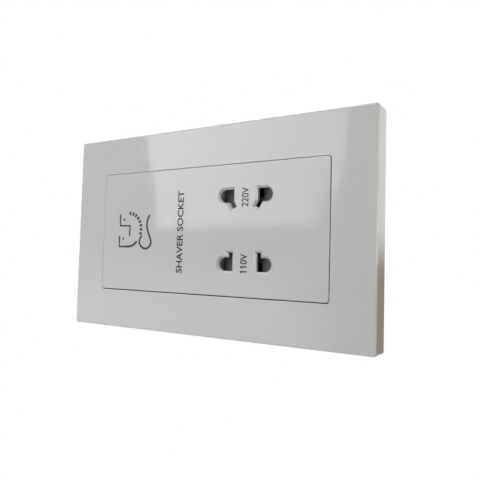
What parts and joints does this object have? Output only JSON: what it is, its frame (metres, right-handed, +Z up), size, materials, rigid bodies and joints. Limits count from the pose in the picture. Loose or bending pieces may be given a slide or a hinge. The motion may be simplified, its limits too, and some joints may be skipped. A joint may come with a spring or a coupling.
{
  "type": "shaver supply wall socket",
  "caption": "Wide white wall plate with a flush insert panel, shuttered pin apertures at one end for shavers, and a stepped transformer housing behind the wall plane.",
  "frame": {"origin": "on the wall plane, midway between the two box screws", "axes": "+X to the right as seen from the room, +Y into the wall, +Z up"},
  "size_m": [0.146, 0.0447, 0.086],
  "materials": {
    "gloss_white": "glossy moulded plastic",
    "frame_plastic": "satin moulded plastic",
    "housing_plastic": "fine matt moulded plastic",
    "shutter_plastic": "smooth dark moulded plastic",
    "carrier_plastic": "matt black moulded plastic",
    "block_plastic": "matt dark grey moulded plastic",
    "bobbin_plastic": "natural glass-filled plastic",
    "cutout_case": "sealed black case",
    "contact_brass": "bright pressed brass",
    "spring_steel": "bright drawn wire",
    "plated_steel": "zinc-plated",
    "lamination_steel": "varnished laminations",
    "copper_wire": "enamelled copper",
    "lead_brown": "soft insulation",
    "lead_blue": "soft insulation",
    "lead_green": "soft insulation",
    "lead_red": "soft insulation",
    "lead_black": "soft insulation",
    "lead_white": "soft insulation"
  },
  "bodies": {
    "socket": {"cover_frame": "gloss_white", "socket_panel": "gloss_white", "mounting_frame": "frame_plastic", "rear_housing": "housing_plastic", "shutter_spring_220": "spring_steel", "shutter_spring_110": "spring_steel", "contact_carrier": "carrier_plastic", "common_contact": "contact_brass", "contact_220": "contact_brass", "contact_110": "contact_brass", "carrier_screws": "plated_steel", "transformer_core": "lamination_steel", "core_screws": "plated_steel", "bobbin": "bobbin_plastic", "primary_winding": "copper_wire", "secondary_winding": "copper_wire", "thermal_cutout": "cutout_case", "terminal_block": "block_plastic", "block_screws": "plated_steel", "terminal_live": "contact_brass", "terminal_neutral": "contact_brass", "terminal_earth": "contact_brass", "terminal_screws": "plated_steel", "lead_live": "lead_brown", "lead_neutral": "lead_blue", "lead_earth": "lead_green", "lead_cutout": "lead_white", "lead_common": "lead_black", "lead_220": "lead_red", "lead_110": "lead_white"},
    "slider_220": {"shutter_220": "shutter_plastic"},
    "slider_110": {"shutter_110": "shutter_plastic"}
  },
  "joints": [
    {"name": "shutter_220_slide", "type": "slide", "parent": "socket", "child": "slider_220", "axis": [1, 0, 0], "range_m": [0, 0.0082], "stiffness_N_per_m": 60, "springref_m": -0.004, "deforming": ["shutter_spring_220"]},
    {"name": "shutter_110_slide", "type": "slide", "parent": "socket", "child": "slider_110", "axis": [1, 0, 0], "range_m": [0, 0.0082], "stiffness_N_per_m": 60, "springref_m": -0.004, "deforming": ["shutter_spring_110"]}
  ]
}
